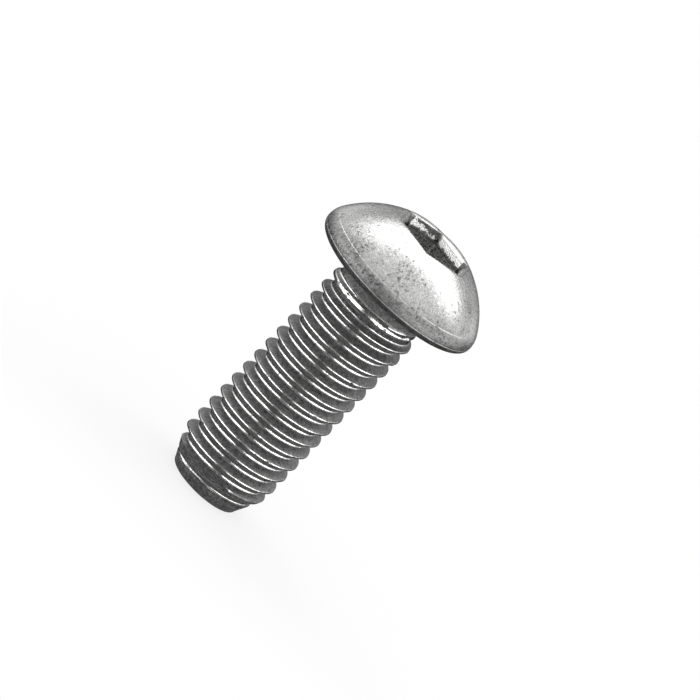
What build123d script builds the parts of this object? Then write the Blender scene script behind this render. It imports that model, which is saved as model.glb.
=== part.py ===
from build123d import *
from math import asin, atan, cos, degrees, sin, sqrt
import os

# Hexagon socket button head screw, M10 x 1.5 x 25, right-hand thread.
#
# The screw stands on its flat end with the head up. The origin is on the axis
# in the plane of the bearing face under the head, and +Z points out of the head.
# Two corners of the socket's hexagon lie over the Y axis.

# ---- Driving dimensions (mm) -------------------------------------------------

# Shank
thread_diameter = 9.85          # over the crests
shank_length = 25.5             # bearing face to the flat end
neck_diameter = 8.9             # rolled blank, bare of thread
neck_length = 1.8               # bearing face to the first trace of thread
runout_length = 0.9             # neck to the full thread
neck_fillet = 0.6               # under the head
point_diameter = 7.25           # flat end
point_round = 0.25              # edge of the flat end
collar_diameter = 7.7           # top of the plain collar at the point
collar_length = 0.7
lead_length = 2.2               # collar to the full thread

# Head
head_diameter = 17.3
rim_height = 0.68               # bearing face to the top of the upright rim
rim_blend = 1.9                 # radius between the rim and the dome
rim_underside_round = 0.6       # radius between the rim and the bearing face
dome_over_head = 1.15           # how much more the dome's radius is than the head's

# Socket
socket_across_flats = 6.0
socket_foot_height = 2.3        # bearing face to the foot of the walls
socket_floor_dip = 0.4          # the floor is a shallow cone
mouth_height = 5.2              # bearing face to the top of the lead-in
lead_in_width = 0.28            # funnel that the punch drew into the mouth
lead_in_depth = 0.8
mouth_bevel_angle = 48.0        # from the lead-in up to the dome, degrees from level

# ---- Derived values ----------------------------------------------------------

head_radius = head_diameter / 2
dome_radius = head_radius + dome_over_head
neck_radius = neck_diameter / 2
thread_radius = thread_diameter / 2
point_radius = point_diameter / 2
collar_radius = collar_diameter / 2
socket_radius = socket_across_flats / 2         # to the flats
mouth_radius = socket_radius + lead_in_width    # to the flats

end_z = -shank_length
collar_z = end_z + collar_length
lead_z = collar_z + lead_length
full_thread_z = -neck_length - runout_length
lead_in_foot_z = mouth_height - lead_in_depth

# The blend of the rim touches the upright side and the dome.
blend_centre_r = head_radius - rim_blend
blend_reach = dome_radius - rim_blend
dome_centre_z = rim_height - sqrt(blend_reach ** 2 - blend_centre_r ** 2)
dome_slope = asin(blend_centre_r / blend_reach)
dome_edge = (dome_radius * sin(dome_slope), dome_centre_z + dome_radius * cos(dome_slope))
dome_top_z = dome_centre_z + dome_radius


def head():
    """Domed head: flat bearing face, rounded rim and a spherical dome."""
    under_r = head_radius - rim_underside_round
    with BuildPart() as solid:
        with BuildSketch(Plane.XZ):
            with BuildLine():
                Line((0, 0), (under_r, 0))
                TangentArc((under_r, 0), (head_radius, rim_underside_round), tangent=(1, 0))
                Line((head_radius, rim_underside_round), (head_radius, rim_height))
                TangentArc((head_radius, rim_height), dome_edge, tangent=(0, 1))
                RadiusArc(dome_edge, (0, dome_top_z), -dome_radius)
                Line((0, dome_top_z), (0, 0))
            make_face()
        revolve(axis=Axis.Z)
    return solid.part


def shank():
    """Shank turned in one profile: fillet, neck, crests, lead and flat point."""
    with BuildPart() as solid:
        with BuildSketch(Plane.XZ):
            with BuildLine():
                Polyline((neck_radius + neck_fillet, 0), (0, 0), (0, end_z),
                         (point_radius - point_round, end_z))
                TangentArc((point_radius - point_round, end_z),
                           (point_radius, end_z + point_round), tangent=(1, 0))
                Polyline((point_radius, end_z + point_round), (collar_radius, collar_z),
                         (thread_radius, lead_z), (thread_radius, full_thread_z),
                         (neck_radius, -neck_length), (neck_radius, -neck_fillet))
                TangentArc((neck_radius, -neck_fillet), (neck_radius + neck_fillet, 0),
                           tangent=(0, 1))
            make_face()
        revolve(axis=Axis.Z)
    return solid.part


def hexagon(flat_radius):
    """Hexagon with two corners over the Y axis, by the distance to its flats."""
    return RegularPolygon(flat_radius, 6, major_radius=False, rotation=30)


def socket():
    """Cutter of the socket: bevel, drawn lead-in, straight walls, dipped floor."""
    lead_in_taper = degrees(atan(lead_in_width / lead_in_depth))
    with BuildPart() as cutter:
        with BuildSketch(Plane.XY.offset(mouth_height)):
            hexagon(mouth_radius)
        extrude(amount=dome_top_z - mouth_height, taper=mouth_bevel_angle - 90)
        with BuildSketch(Plane.XY.offset(lead_in_foot_z)):
            hexagon(socket_radius)
        extrude(amount=lead_in_depth, taper=-lead_in_taper)
        with BuildSketch(Plane.XY.offset(socket_foot_height)):
            hexagon(socket_radius)
        extrude(amount=lead_in_foot_z - socket_foot_height)
        with Locations((0, 0, socket_foot_height)):
            Cone(0, socket_radius, socket_floor_dip,
                 align=(Align.CENTER, Align.CENTER, Align.MAX))
    return cutter.part


screw = head() + shank() - socket()

os.makedirs("parts", exist_ok=True)
export_step(screw, "parts/screw.step")
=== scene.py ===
import bpy
import numpy as np
from mathutils import Matrix, Vector


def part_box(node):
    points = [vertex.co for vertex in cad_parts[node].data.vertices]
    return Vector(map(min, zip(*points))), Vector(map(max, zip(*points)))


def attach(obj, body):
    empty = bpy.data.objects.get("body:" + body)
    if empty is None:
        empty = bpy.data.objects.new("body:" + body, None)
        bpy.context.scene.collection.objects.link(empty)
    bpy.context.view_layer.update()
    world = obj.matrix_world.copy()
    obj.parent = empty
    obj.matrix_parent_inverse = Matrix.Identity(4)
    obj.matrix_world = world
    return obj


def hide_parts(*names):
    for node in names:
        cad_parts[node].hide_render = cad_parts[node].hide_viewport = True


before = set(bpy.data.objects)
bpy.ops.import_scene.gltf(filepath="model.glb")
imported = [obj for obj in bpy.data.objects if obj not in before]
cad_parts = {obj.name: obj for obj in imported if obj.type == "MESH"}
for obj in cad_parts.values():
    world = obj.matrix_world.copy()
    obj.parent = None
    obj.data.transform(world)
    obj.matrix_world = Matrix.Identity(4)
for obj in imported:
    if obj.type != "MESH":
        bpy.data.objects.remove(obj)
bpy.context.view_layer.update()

# ---- Screw -------------------------------------------------------------------
# One piece of stainless steel: a button head screw with a hexagon socket. Head and
# socket are cold-formed in a round blank, which leaves the drawn lead-in in the
# socket, and the thread is rolled on the shank from the flat point to a bare neck.

MM = 0.001
low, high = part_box("screw")

# Shank, from the bearing face at z = 0 down to the flat end
end_z = low.z
point_r = 3.625 * MM
point_round = 0.25 * MM
collar_r = 3.85 * MM              # plain, between the point and the thread
collar_z = end_z + 0.7 * MM
neck_r = 4.45 * MM
neck_z = -1.95 * MM
neck_fillet = 0.6 * MM

# Thread, whose crests and roots lean, so that they face up a little
pitch = 1.5 * MM
thread_r = 4.925 * MM
root_r = 4.075 * MM
crest_z = -0.46 * MM              # a crest on the +X side, and the rest a pitch apart
crest_flat = 0.19 * MM
crest_round = 0.03 * MM
root_round = 0.06 * MM
lean = 0.18                       # loss of radius over height
root_bow = 330.0                  # gain of radius over height squared, per metre
crest_bow = 200.0                 # the same as a loss, where the blank cuts off a crest
lead_z = collar_z + 2.2 * MM      # from here up the crests have their full radius
full_thread_z = -2.9 * MM         # as far as here

# Head
head_r = high.x
rim_z = 0.68 * MM
rim_blend = 1.9 * MM
underside_round = 0.6 * MM
dome_r = 9.8 * MM

# Socket: each r is the distance from the axis to a flat
socket_r = 3.0 * MM
socket_foot_z = 2.3 * MM
floor_dip = 0.4 * MM
mouth_z = 5.2 * MM
lead_in_width = 0.28 * MM
lead_in_depth = 0.8 * MM
bevel_width = 0.16 * MM
bevel_slope = np.tan(np.radians(48.0))

columns = 240                     # round the axis: a multiple of 12 has one at each corner
theta = np.arange(columns) * 2 * np.pi / columns


def smooth_min(a, b, k):
    """The lesser of a and b, rounded where they cross: half of their sum less the root of
    their squared difference plus k squared."""
    return 0.5 * (a + b - np.sqrt((a - b) ** 2 + k ** 2))


def smooth_max(a, b, k):
    """The greater of a and b, rounded where they cross."""
    return -smooth_min(-a, -b, k)


def arc(centre_r, centre_z, radius, start, stop, count):
    """Points (r, z) of an arc of the half section, between two angles in degrees."""
    angle = np.radians(np.linspace(start, stop, count))
    return np.column_stack([centre_r + radius * np.cos(angle), centre_z + radius * np.sin(angle)])


def rings(r, z):
    """Rings of points (x, y, z) round the axis. Each of r and z is one number for a ring,
    or one for each of its columns."""
    r = np.broadcast_to(np.reshape(r, (len(r), -1)), (len(r), columns))
    z = np.broadcast_to(np.reshape(z, (len(z), -1)), (len(z), columns))
    return np.stack([r * np.cos(theta), r * np.sin(theta), z], -1)


# The thread's rows climb with the helix: each is a turn that ends a pitch higher, where
# the row a pitch above it begins. They lie closest at the edges of a crest and a root
half_turn = np.array([0.0, 0.045, 0.065, 0.09, 0.16, 0.27, 0.355, 0.385, 0.415, 0.5])
row_turns = np.concatenate([half_turn[:-1], 1 - half_turn[:0:-1]])
rows_a_turn = len(row_turns)
first_turn = -17
last_turn = -1
last_row = (last_turn - first_turn) * rows_a_turn

# Heights at some turns: the first and the last turn are squeezed into the plain collar
# and the plain neck
free_turn = first_turn + 0.55
turn_heights = np.array([
    [first_turn, end_z + point_round + 0.03 * MM], [free_turn, crest_z + free_turn * pitch],
    [last_turn, crest_z + last_turn * pitch], [last_turn + 1, -neck_fillet - 0.1 * MM]])

# Heights and radii of the roots, and of the blank's outline over the crests. The share of
# the lean ends at the neck
blank_r = thread_r + 0.02 * MM
root_line = np.array([
    [end_z + 1.0 * MM, root_r - 0.14 * MM], [end_z + 1.9 * MM, root_r],
    [-4.4 * MM, root_r], [-2.2 * MM, neck_r]])
blank_line = np.array([
    [end_z + point_round, point_r], [collar_z, collar_r], [lead_z, blank_r],
    [full_thread_z, blank_r], [neck_z, neck_r]])
lean_share = np.array([[-2.35 * MM, 1], [-2.0 * MM, 0]])

# Nicks along the crests: places and lengths in turns, and depths
nick_count = 60
nick_reach = 0.3 * MM             # up and down, from the middle of a crest
chance = np.random.default_rng(7)
nick_turns = chance.uniform(first_turn, last_turn, nick_count)
nick_lengths = chance.uniform(0.004, 0.015, nick_count)
nick_depths = chance.uniform(0.02, 0.09, nick_count) * MM


def thread_points(row, column):
    """Points (x, y, z) of the thread at a row and a column. The radius is that of a V
    groove: from a crest's edge it falls by the root of 3 times the height, down to the
    root. Crest and root lean by a share of the height, and the root is hollow by a share
    of its square. The blank's outline cuts the crests off, and above the lead it leans
    and bows over them. A nick dents its crest by a bell curve of the turns to it."""
    share = column / columns
    part = row_turns[row % rows_a_turn]
    turn = first_turn + row // rows_a_turn + part + share
    z = np.interp(turn, *turn_heights.T)
    leaning = np.interp(z, *lean_share.T)
    above_crest = (part - np.round(part)) * pitch
    above_root = (part - 0.5) * pitch
    flank = thread_r - (abs(above_crest) - crest_flat / 2) * np.sqrt(3)
    crest = smooth_min(flank, thread_r - lean * above_crest, crest_round)
    hollow = root_bow * above_root ** 2 - lean * above_root
    root = np.interp(z, *root_line.T) + leaning * hollow
    groove = smooth_max(crest, root, root_round)
    above_lead = z > lead_z
    outline_z = z - above_lead * above_crest * (1 - (2 * above_crest / pitch) ** 2)
    bow = above_lead * (lean * above_crest + crest_bow * above_crest ** 2)
    blank = np.interp(outline_z, *blank_line.T) - leaning * bow
    r = smooth_min(groove, blank, crest_round)
    apart = np.expand_dims(turn - part + np.round(part), -1) - nick_turns
    dents = (nick_depths * np.exp(-(apart / nick_lengths) ** 2)).sum(-1)
    r = r - dents * np.clip(1 - abs(above_crest) / nick_reach, 0, 1)
    angle = share * 2 * np.pi
    return np.stack([r * np.cos(angle), r * np.sin(angle), z], -1)


# The last column joins the first one a turn further up, so the first one has a turn more
# than the other columns
row, column = np.mgrid[0:last_row + 1, 0:columns]
thread = thread_points(row, column).reshape(-1, 3)
extra_turn = thread_points(
    np.arange(last_row + 1, last_row + rows_a_turn + 1), np.zeros(rows_a_turn))

# Flat end, below the thread
end_r = np.linspace(0, 1, 7)[1:-1] * (point_r - point_round)
end_line = np.concatenate([
    np.column_stack([end_r, np.full(len(end_r), end_z)]),
    arc(point_r - point_round, end_z + point_round, point_round, -90, 0, 6)])
end_rings = rings(*end_line.T)

# Head: neck fillet, bearing face, rim, and the blend into the dome
blend_r = head_r - rim_blend
dome_z = rim_z - np.sqrt((dome_r - rim_blend) ** 2 - blend_r ** 2)
dome_angle = np.degrees(np.arctan2(rim_z - dome_z, blend_r))
face_r = np.linspace(neck_r + neck_fillet, head_r - underside_round, 8)[1:-1]
head_line = np.concatenate([
    arc(neck_r + neck_fillet, -neck_fillet, neck_fillet, 180, 90, 9),
    np.column_stack([face_r, np.zeros(len(face_r))]),
    arc(head_r - underside_round, underside_round, underside_round, -90, 0, 10),
    arc(blend_r, rim_z, rim_blend, 0, dome_angle, 12)])
head_rings = rings(*head_line.T)


def dome_height(r):
    """Height of the dome's sphere at a radius."""
    return dome_z + np.sqrt(dome_r ** 2 - r ** 2)


# Radius of each column on a hexagon whose flats are 1 from the axis, with slightly rounded
# corners: 1 over the power mean of the cosines of the angles to the six flats
sharpness = 70
flat_angles = theta[:, None] - np.arange(6) * np.pi / 3
hexagon = (np.maximum(np.cos(flat_angles), 0) ** sharpness).sum(1) ** (-1 / sharpness)

# The punch draws the dome down a little round the socket. The sunken lip runs from a
# narrow bevel at the mouth out to the dome, and is narrower at the corners
open_r = socket_r + lead_in_width
crown_r = (open_r + bevel_width) * hexagon
crown_z = mouth_z + bevel_width * bevel_slope
lip_width = np.interp(crown_r, [crown_r.min(), crown_r.max()], [0.55 * MM, 0.33 * MM])
lip_r = crown_r + lip_width
dome_foot_r = head_line[-1, 0]
dome_share = np.linspace(0, 1, 45)[1:, None]
dome_rows = dome_foot_r + dome_share * (lip_r - dome_foot_r)
dome_rings = rings(dome_rows, dome_height(dome_rows))
lip_share = np.array([0.2, 0.4, 0.6, 0.8, 0.93, 0.985])[:, None]
lip_rows = lip_r - lip_share * lip_width
lip_sunk = (dome_height(crown_r) - crown_z) * lip_share ** 1.25
lip_rings = rings(lip_rows, dome_height(lip_rows) - lip_sunk)
crown_ring = rings([crown_r], [crown_z - 0.008 * MM])

# Socket: bevel, drawn lead-in, straight walls, and a floor that is a shallow cone. A row
# close to each edge keeps it crisp
lead_foot_z = mouth_z - lead_in_depth
close = 0.06 * MM
bevel_share = np.array([[0.12], [0.4], [0.7]])
bevel_rings = rings((open_r + (1 - bevel_share) * bevel_width) * hexagon,
                    crown_z + bevel_share * (mouth_z - crown_z))
wall_line = np.array([
    [open_r + 0.015 * MM, mouth_z + 0.017 * MM], [open_r, mouth_z],
    [open_r - 0.02 * MM, mouth_z - close], [socket_r + 0.02 * MM, lead_foot_z + close],
    [socket_r, lead_foot_z], [socket_r, lead_foot_z - close],
    [socket_r, socket_foot_z + 1.3 * MM], [socket_r, socket_foot_z + 0.7 * MM],
    [socket_r - 0.01 * MM, socket_foot_z + 0.12 * MM],
    [socket_r - 0.05 * MM, socket_foot_z + 0.03 * MM],
    [socket_r - 0.2 * MM, socket_foot_z - 0.03 * MM]])
wall_rings = rings(wall_line[:, :1] * hexagon, wall_line[:, 1])
floor_share = np.array([[0.8], [0.6], [0.4], [0.2]])
floor_rings = rings(
    socket_r * floor_share * hexagon, socket_foot_z - floor_dip * (1 - floor_share))

# One closed mesh, of the end's centre and rings, the thread, and the rings up to the
# centre of the socket's floor
upper = np.concatenate([
    head_rings, dome_rings, lip_rings, crown_ring, bevel_rings, wall_rings, floor_rings])
points = np.concatenate([
    [[0, 0, end_z]], end_rings.reshape(-1, 3), thread, extra_turn, upper.reshape(-1, 3),
    [[0, 0, socket_foot_z - floor_dip]]])
thread_start = 1 + len(end_rings) * columns
upper_start = thread_start + len(thread) + len(extra_turn)
floor_centre = len(points) - 1


def strips(index):
    """Four-sided faces between the rows of a table of point numbers."""
    corners = [index[:-1, :-1], index[:-1, 1:], index[1:, 1:], index[1:, :-1]]
    return np.stack(corners, -1).reshape(-1, 4)


def fan(centre, ring):
    """Triangles from a centre to a closed ring of point numbers."""
    return np.column_stack([np.full(columns, centre), ring[:-1], ring[1:]])


around = np.append(np.arange(columns), 0)
end_index = 1 + np.arange(len(end_rings))[:, None] * columns + around
upper_index = upper_start + np.arange(len(upper))[:, None] * columns + around
thread_index = thread_start + np.arange(len(thread)).reshape(-1, columns)
first_column = np.append(
    thread_index[:, 0], thread_start + len(thread) + np.arange(rows_a_turn))
thread_index = np.column_stack([thread_index, first_column[rows_a_turn:]])
foot = np.stack([end_index[-1], thread_index[0]])
neck = np.stack([thread_index[-1], upper_index[0]])
quads = np.concatenate([
    strips(end_index), strips(foot[:, :-1]), strips(thread_index), strips(neck[:, 1:]),
    strips(upper_index)])
fans = np.concatenate([
    fan(0, end_index[0, ::-1]), fan(floor_centre, upper_index[-1])])

# Where the helix starts and ends, one face closes the step of a pitch in each seam
closing = [
    np.concatenate([end_index[-1, -2:], first_column[:rows_a_turn + 1], thread_index[0, -2:-1]]),
    np.concatenate([thread_index[-1, :2], upper_index[0, 1::-1], first_column[:last_row:-1]])]
faces = quads.tolist() + fans.tolist() + [face.tolist() for face in closing]
mesh = bpy.data.meshes.new("screw_body")
mesh.from_pydata(points.tolist(), [], faces)
mesh.shade_smooth()
mesh.set_sharp_from_angle(angle=np.radians(38))
screw = bpy.data.objects.new("screw_body", mesh)
bpy.context.collection.objects.link(screw)


class Link:
    """A shader socket. Arithmetic on links and numbers adds Math nodes."""

    def __init__(self, tree, socket=None):
        self.tree = tree
        self.socket = socket

    def node(self, kind, settings=None, sockets=None, out=0):
        """Adds a node: its type, its settings, which are set first, then the values or
        links of its sockets. Gives its output, by number or name."""
        node = self.tree.nodes.new(kind)
        for name, value in (settings or {}).items():
            setattr(node, name, value)
        for name, value in (sockets or {}).items():
            if isinstance(value, Link):
                self.tree.links.new(value.socket, node.inputs[name])
            else:
                node.inputs[name].default_value = value
        return Link(self.tree, node.outputs[out] if node.outputs else None)

    def math(self, operation, first, second=0.0):
        return self.node("ShaderNodeMath", {"operation": operation}, {0: first, 1: second})

    def __add__(self, other):
        return self.math("ADD", self, other)

    def __sub__(self, other):
        return self.math("SUBTRACT", self, other)

    def __rsub__(self, other):
        return self.math("SUBTRACT", other, self)

    def __mul__(self, other):
        return self.math("MULTIPLY", self, other)

    def __truediv__(self, other):
        return self.math("DIVIDE", self, other)

    def __abs__(self):
        return self.math("ABSOLUTE", self)

    __radd__ = __add__
    __rmul__ = __mul__

    def most(self, other):
        """The greater of the two."""
        return self.math("MAXIMUM", self, other)

    def least(self, other):
        """The lesser of the two."""
        return self.math("MINIMUM", self, other)

    def ramp(self, start, stop, low=0.0, high=1.0):
        """Goes smoothly from low to high as the value goes from start to stop."""
        return self.node(
            "ShaderNodeMapRange", {"interpolation_type": "SMOOTHSTEP"},
            {"Value": self, "From Min": start, "From Max": stop, "To Min": low, "To Max": high})

    def line(self, at, width):
        """1 where the value is at a number, and down to 0 a width away on both sides."""
        return (1 - abs(self - at) / width).most(0.0)

    def part(self, axis):
        """X, Y or Z of a vector."""
        return self.node("ShaderNodeSeparateXYZ", None, {"Vector": self}, axis)


def new_material(name):
    """An empty material, and its tree as a Link."""
    material = bpy.data.materials.new(name)
    material.use_nodes = True
    material.node_tree.nodes.clear()
    return material, Link(material.node_tree)


steel, tree = new_material("steel")
place = tree.node("ShaderNodeTexCoord", out="Object")
mm = tree.node("ShaderNodeVectorMath", {"operation": "SCALE"}, {0: place, "Scale": 1 / MM})
x = mm.part("X")
y = mm.part("Y")
z = mm.part("Z")
level = abs(tree.node("ShaderNodeNewGeometry", out="Normal").part("Z"))


def noise(scale, detail, roughness=0.55):
    """Noise with that many features in a millimetre, from about -0.5 to 0.5."""
    return tree.node(
        "ShaderNodeTexNoise", None,
        {"Vector": mm, "Scale": scale, "Detail": detail, "Roughness": roughness}) - 0.5


# Shank: painted shade darkens the neck, the flanks and the collar, which also have a rough,
# half metallic film; the crests and the roots are lighter, an uneven painted highlight
neck_foot = neck_z / MM
collar_top = collar_z / MM
shank = z.ramp(-0.05, -0.5)
threaded = z.ramp(neck_foot + 0.25, neck_foot) * z.ramp(collar_top + 0.05, collar_top + 0.4)
# The film's dark colour is painted shade, on the neck, the flanks and the collar
film_and_painted_shade = shank * (1 - threaded * level.ramp(0.75, 0.35))
# Crests and roots, lighter by a painted highlight
painted_crest_root_highlight = threaded * level.ramp(0.6, 0.3)
# Noise that makes the crests' and roots' painted highlight uneven
crest_root_highlight_strength = noise(1.4, 4.0, 0.65).ramp(-0.24, -0.02, 0.25, 1.0)

# Head: the rim, rougher and darkened by painted shade, and slight ridges round its top edge
# and where the die closed, lightened by painted highlights
rim_satin_and_painted_shade = z.ramp(2.2, 1.3) * z.ramp(0.15, 0.5)
# A slight ridge in the bump round the top edge, lit by a painted highlight
edge_ridge_and_painted_highlight = z.line(0.62, 0.06)
# A slight ridge in the bump where the die closed, lit by a painted highlight
die_ridge_and_painted_highlight = z.line(1.85, 0.045)

# Socket: the drawn lead-in is smoother and lighter, its lightness a painted highlight, down to
# a ragged line. Painted shade darkens a band above its foot, its upper left and the side walls,
# and a line round the sunken lip. The facet is how far out a point is, towards a flat
lead_foot = lead_foot_z / MM
crown = (open_r + bevel_width) / MM
slant = y * 0.866                 # sine of 60 degrees
facet = abs(x).most(abs(x * 0.5 + slant)).most(abs(x * 0.5 - slant))
inside = facet.ramp(crown + 0.02, crown - 0.02) * z.ramp(1.0, 1.5)
ragged = z + noise(1.5, 4.0, 0.7) * 1.5
# A band above the lead-in's foot, under the ragged line, is darkened: painted shade
lead_in_foot_painted_shade = inside * z.ramp(lead_foot - 0.04, lead_foot)
lead_in_foot_painted_shade = lead_in_foot_painted_shade * ragged.ramp(lead_foot + 0.35, lead_foot + 0.25)
# The lead-in above the ragged line: smoother, and lighter by a painted highlight
drawn_and_painted_highlight = inside * ragged.ramp(lead_foot, lead_foot + 0.1)
# Painted shade on the lead-in's upper left, with a ragged edge, and on the side walls
left_shade_height = z + x * 0.25 + noise(2.6, 4.0, 0.7) * 1.6
left_painted_shade = left_shade_height.ramp(lead_foot + 0.1, lead_foot + 0.2) * x.ramp(0.2, -0.2)
painted_wall_shade = drawn_and_painted_highlight * left_painted_shade.most((x * x).ramp(8.4, 8.8))
# A dark line of painted shade round the sunken lip
lip_painted_shade_line = facet.line(crown + 0.26, 0.05) * z.ramp(4.8, 5.0) * (1 - inside)

# Finish: clouds, grain and specks in the satin, pits, and fine worm-like marks in patches
# of the dome
cloud = noise(0.7, 4.0)
grain = noise(3.2, 4.0, 0.65)
speck = noise(9.0, 2.0)
mottle = (grain * 1.4 + speck * 1.6) * (1 - drawn_and_painted_highlight * 0.7)
pit = noise(2.3, 1.0).ramp(-0.18, -0.22)
worm = noise(4.0, 2.0, 0.5).ramp(-0.03, -0.12) * noise(0.5, 2.0).ramp(-0.06, 0.06)
worm = worm * z.ramp(0.75, 1.0) * z.ramp(4.9, 4.0)

# Painted shade darkens the rim
tone = 0.52 + cloud * 0.3 + mottle * 0.42 - rim_satin_and_painted_shade * 0.19
# Painted highlights lighten the edge and die lines, and the crests and roots
tone = tone + die_ridge_and_painted_highlight * 0.35 + edge_ridge_and_painted_highlight * 0.9 + painted_crest_root_highlight * (0.3 + grain * 1.2)
tone = tone * (1 - worm * 0.5) * (1 + film_and_painted_shade * (grain + speck) * 1.5)
# The painted highlight on the crests and roots is uneven
tone = tone * (1 - painted_crest_root_highlight * (1 - crest_root_highlight_strength))
# Painted shade darkens the film, and a line round the sunken lip
tone = tone * (1 - film_and_painted_shade * 0.66) * (1 - pit * 0.5) * (1 - lip_painted_shade_line * 0.6)
# Painted highlight on the drawn lead-in; painted shade on its dull patches and torn band
tone = (tone + drawn_and_painted_highlight * 0.42 - painted_wall_shade * 0.8) * (1 - lead_in_foot_painted_shade * 0.85)
tone = tone.most(0.03).least(0.97)
colour = tree.node("ShaderNodeCombineColor", None, {0: tone, 1: tone, 2: tone * 0.99})
rough = 0.27 + cloud * 0.1 + mottle * 0.08 + rim_satin_and_painted_shade * 0.18
rough = rough + film_and_painted_shade * 0.35 - shank * 0.14 - drawn_and_painted_highlight * 0.08
height = (grain + speck) * 0.5 * (1 - shank * 0.6) + (die_ridge_and_painted_highlight + edge_ridge_and_painted_highlight) * 0.3
bump = tree.node(
    "ShaderNodeBump", None, {"Strength": 1.0, "Distance": 0.03 * MM, "Height": height})
surface = tree.node(
    "ShaderNodeBsdfPrincipled", None,
    {"Base Color": colour, "Metallic": 1 - film_and_painted_shade * 0.5, "Roughness": rough, "Normal": bump})
tree.node("ShaderNodeOutputMaterial", None, {"Surface": surface})
mesh.materials.append(steel)
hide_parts("screw")
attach(screw, "root")

# ---- Studio ------------------------------------------------------------------
# A pale floor under the flat end, a world of soft panels that the steel mirrors, and
# the camera. The world and the floor are white to the camera alone.

half = 2.0                        # of a side of the floor
corners = [(-half, -half, end_z), (half, -half, end_z), (half, half, end_z), (-half, half, end_z)]
ground_mesh = bpy.data.meshes.new("floor")
ground_mesh.from_pydata(corners, [], [(0, 1, 2, 3)])
ground = bpy.data.objects.new("floor", ground_mesh)
bpy.context.collection.objects.link(ground)
paper, tree = new_material("floor_paper")
diffuse = tree.node("ShaderNodeBsdfDiffuse", None, {"Color": (0.8, 0.8, 0.8, 1)})
white = tree.node("ShaderNodeEmission", None, {"Color": (1, 1, 1, 1), "Strength": 1.0})
seen = tree.node("ShaderNodeLightPath", out="Is Camera Ray")
mixed = tree.node("ShaderNodeMixShader", None, {0: seen * 0.8, 1: diffuse, 2: white})
tree.node("ShaderNodeOutputMaterial", None, {"Surface": mixed})
ground_mesh.materials.append(paper)
ground.visible_glossy = False

# Panels, by the direction from the screw: a wide canopy with a brighter round roof in it,
# bright banks low down on both sides with dimmer ones above them, and a backdrop behind
world = bpy.data.worlds.new("studio")
world.use_nodes = True
world.node_tree.nodes.clear()
world.cycles.sampling_method = "NONE"
tree = Link(world.node_tree)
toward = tree.node("ShaderNodeTexCoord", out="Generated")
across = toward.part("X")
aside = abs(across)
behind = toward.part("Y")
upward = toward.part("Z")
canopy = upward.ramp(0.35, 0.8) * behind.ramp(0.85, 0.45)
off_roof = (behind - 0.33) * (behind - 0.33) * 10.0 + across * across * 1.2
roof = off_roof.ramp(1.15, 0.45) * upward.ramp(0.3, 0.6)
banks = aside.ramp(0.15, 0.42, 0.05, 1.0) * upward.ramp(-0.06, 0.02) * upward.ramp(0.26, 0.08)
banks = banks * behind.ramp(0.5, -0.1, 0.3, 1.0)
high_banks = aside.ramp(0.45, 0.75) * upward.ramp(0.0, 0.15) * upward.ramp(0.55, 0.35)
backdrop = behind.ramp(0.2, 0.8) * upward.ramp(0.0, 0.25) * upward.ramp(0.75, 0.4)
seen = tree.node("ShaderNodeLightPath", out="Is Camera Ray")
glossy = tree.node("ShaderNodeLightPath", out="Is Glossy Ray")
mirrored = glossy + tree.node("ShaderNodeLightPath", out="Is Transmission Ray")
glow = 0.08 - behind.ramp(0.7, 0.95) * 0.05 + canopy * 0.95 + roof * 2.2
glow = glow + banks * 3.2 + high_banks * 0.4
glow = glow + mirrored * backdrop * 0.45
sky = tree.node(
    "ShaderNodeBackground", None,
    {"Color": (1, 1, 1, 1), "Strength": glow + seen * (1.0 - glow)})
tree.node("ShaderNodeOutputWorld", None, {"Surface": sky})
bpy.context.scene.world = world

# Camera: in front, looking down a little at the head, and rolled
lens = 1000.0
sensor_width = 36.0
view_width = 62.1 * MM
elevation = np.radians(16.3)
roll = np.radians(90 - 46.07)
frame_pixels = 700
origin_pixel = (394.8, 286.1)     # where the screw's origin is seen, from the top left
back = Vector((0, -np.cos(elevation), np.sin(elevation)))
side = Vector((1, 0, 0))
rise = Vector((0, np.sin(elevation), np.cos(elevation)))
right = side * np.cos(roll) + rise * np.sin(roll)
up = rise * np.cos(roll) - side * np.sin(roll)
pixel = view_width / frame_pixels
target = ((frame_pixels / 2 - origin_pixel[0]) * pixel * right
          - (frame_pixels / 2 - origin_pixel[1]) * pixel * up)
camera_data = bpy.data.cameras.new("camera")
camera_data.lens = lens
camera_data.sensor_width = sensor_width
camera_data.clip_end = 10.0
camera = bpy.data.objects.new("camera", camera_data)
turned = Matrix((right, up, back)).transposed().to_4x4()
distance = view_width * lens / sensor_width
camera.matrix_world = Matrix.Translation(target + back * distance) @ turned
bpy.context.collection.objects.link(camera)
bpy.context.scene.camera = camera
bpy.context.scene.view_settings.view_transform = "Standard"
